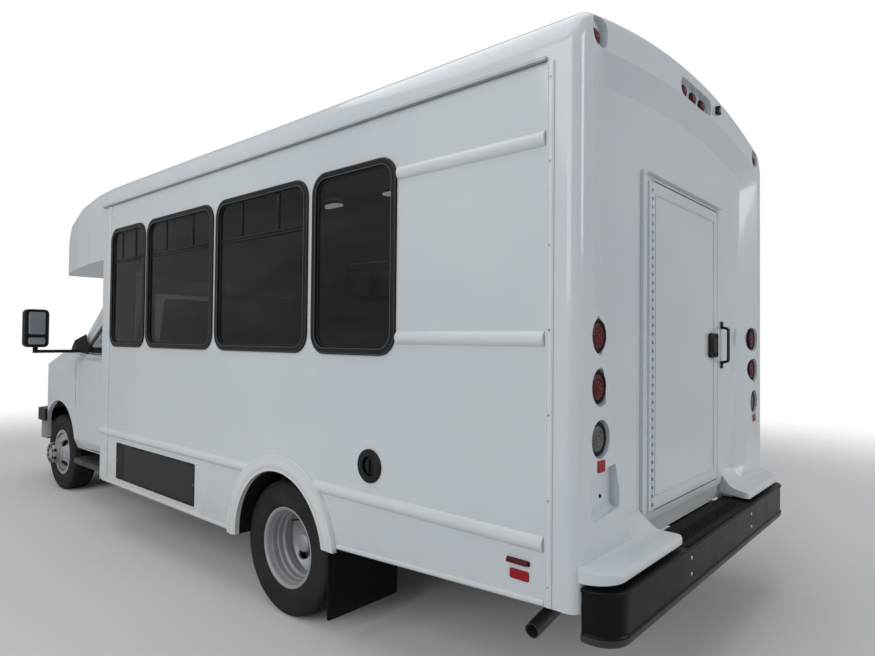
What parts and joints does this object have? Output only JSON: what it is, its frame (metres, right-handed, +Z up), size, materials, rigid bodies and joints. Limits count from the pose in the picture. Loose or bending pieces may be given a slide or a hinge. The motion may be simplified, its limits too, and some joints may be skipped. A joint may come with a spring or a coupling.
{
  "type": "cutaway shuttle minibus",
  "caption": "White shuttle minibus: van cab on a ladder frame with a wide moulded passenger body, rear door, entry door and twin rear wheels.",
  "frame": {"origin": "middle of the vehicle on the ground", "axes": "+X to the vehicle's left, +Y to its rear, +Z up"},
  "size_m": [2.996, 6.867, 2.885],
  "materials": {
    "gelcoat_white": "glossy moulded gelcoat",
    "panel_white": "gloss white paint",
    "cab_white": "gloss white paint",
    "door_white": "gloss white paint",
    "chassis_black": "satin black paint",
    "engine_grey": "cast iron",
    "axle_black": "satin black paint",
    "exhaust_steel": "heat-stained steel",
    "tank_black": "moulded black plastic",
    "floor_grey": "ribbed grey vinyl on plywood",
    "frame_black": "satin black frame",
    "tinted_glass": "dark tinted glass",
    "clear_glass": "light green glass",
    "trim_white": "white moulded trim",
    "mesh_black": "black mesh",
    "lamp_red": "red lens",
    "bumper_black": "textured black paint",
    "rubber_black": "black rubber",
    "tyre_black": "black tyre",
    "wheel_silver": "silver paint",
    "grille_grey": "grey grille with clear lamps",
    "cab_bumper": "black pad over grey",
    "step_black": "ribbed black plastic",
    "dash_grey": "grained grey plastic",
    "seat_grey": "woven seat cloth",
    "seat_frame": "black powder coat",
    "handle_black": "black handle",
    "mirror_black": "black mirror shell"
  },
  "bodies": {
    "chassis": {"frame_rails": "chassis_black", "engine_block": "engine_grey", "front_crossmember": "axle_black", "rear_axle": "axle_black", "drive_shaft": "axle_black", "fuel_tank": "tank_black", "exhaust_pipe": "exhaust_steel", "body_floor": "floor_grey", "side_wall_left": "panel_white", "side_wall_right": "panel_white", "roof_panel": "gelcoat_white", "rear_cap": "gelcoat_white", "front_cap": "gelcoat_white", "window_frames": "frame_black", "window_glass": "tinted_glass", "body_trim": "trim_white", "skirt_grille": "mesh_black", "fuel_filler": "frame_black", "tail_lamps": "lamp_red", "rear_bumper": "bumper_black", "mud_flaps": "rubber_black", "rear_door_frame": "door_white", "grab_handle": "handle_black", "cab_body": "cab_white", "front_fenders": "cab_white", "windshield": "clear_glass", "front_grille": "grille_grey", "front_bumper": "cab_bumper", "side_steps": "step_black", "wheelhouses": "chassis_black", "splash_guards": "rubber_black", "dashboard": "dash_grey", "seat_cushions": "seat_grey", "seat_frames": "seat_frame"},
    "bonnet": {"hood": "cab_white"},
    "door_rear": {"rear_door": "door_white"},
    "entry_leaf_front": {"entry_door_front": "frame_black", "entry_glass_front": "tinted_glass"},
    "entry_leaf_rear": {"entry_door_rear": "frame_black", "entry_glass_rear": "tinted_glass"},
    "track_rod": {"tie_rod": "axle_black"},
    "door_left": {"cab_door_left": "cab_white", "cab_glass_left": "clear_glass", "mirror_left": "mirror_black"},
    "steer_left": {"knuckle_left": "axle_black"},
    "front_wheel_left": {"front_tyre_left": "tyre_black", "front_rim_left": "wheel_silver"},
    "rear_wheels_left": {"rear_tyres_left": "tyre_black", "rear_rims_left": "wheel_silver"},
    "door_right": {"cab_door_right": "cab_white", "cab_glass_right": "clear_glass", "mirror_right": "mirror_black"},
    "steer_right": {"knuckle_right": "axle_black"},
    "front_wheel_right": {"front_tyre_right": "tyre_black", "front_rim_right": "wheel_silver"},
    "rear_wheels_right": {"rear_tyres_right": "tyre_black", "rear_rims_right": "wheel_silver"}
  },
  "joints": [
    {"name": "steering_left", "type": "hinge", "parent": "chassis", "child": "steer_left", "pos_m": [0.735, -2.5735, 0.372], "axis": [0, 0, 1], "range_deg": [-32, 32]},
    {"name": "front_roll_left", "type": "hinge", "parent": "steer_left", "child": "front_wheel_left", "pos_m": [0.872, -2.5735, 0.372], "axis": [1, 0, 0], "continuous": true},
    {"name": "rear_roll_left", "type": "hinge", "parent": "chassis", "child": "rear_wheels_left", "pos_m": [0.911, 1.4655, 0.372], "axis": [1, 0, 0], "continuous": true},
    {"name": "cab_door_left_swing", "type": "hinge", "parent": "chassis", "child": "door_left", "pos_m": [1.009, -2.1365, 1.2], "axis": [0, 0, -1], "range_deg": [0, 68]},
    {"name": "steering_right", "type": "hinge", "parent": "chassis", "child": "steer_right", "pos_m": [-0.735, -2.5735, 0.372], "axis": [0, 0, 1], "range_deg": [-32, 32]},
    {"name": "front_roll_right", "type": "hinge", "parent": "steer_right", "child": "front_wheel_right", "pos_m": [-0.872, -2.5735, 0.372], "axis": [1, 0, 0], "continuous": true},
    {"name": "rear_roll_right", "type": "hinge", "parent": "chassis", "child": "rear_wheels_right", "pos_m": [-0.911, 1.4655, 0.372], "axis": [1, 0, 0], "continuous": true},
    {"name": "cab_door_right_swing", "type": "hinge", "parent": "chassis", "child": "door_right", "pos_m": [-1.009, -2.1365, 1.2], "axis": [0, 0, 1], "range_deg": [0, 68]},
    {"name": "tie_rod_swing", "type": "hinge", "parent": "steer_left", "child": "track_rod", "pos_m": [0.735, -2.4235, 0.272], "axis": [0, 0, 1], "range_deg": [-32, 32]},
    {"name": "bonnet_lift", "type": "hinge", "parent": "chassis", "child": "bonnet", "pos_m": [0, -2.6205, 1.365], "axis": [-1, 0, 0], "range_deg": [0, 50]},
    {"name": "rear_door_swing", "type": "hinge", "parent": "chassis", "child": "door_rear", "pos_m": [0.468, 3.2555, 1.5], "axis": [0, 0, -1], "range_deg": [0, 110]},
    {"name": "entry_front_swing", "type": "hinge", "parent": "chassis", "child": "entry_leaf_front", "pos_m": [-1.211, -0.7595, 1.3], "axis": [0, 0, 1], "range_deg": [0, 92]},
    {"name": "entry_rear_swing", "type": "hinge", "parent": "chassis", "child": "entry_leaf_rear", "pos_m": [-1.211, 0.0725, 1.3], "axis": [0, 0, -1], "range_deg": [0, 92]}
  ],
  "couplings": [
    {"joint": "steering_right", "follows": "steering_left", "ratio": 1},
    {"joint": "tie_rod_swing", "follows": "steering_left", "ratio": -1},
    {"joint": "entry_rear_swing", "follows": "entry_front_swing", "ratio": 1}
  ]
}
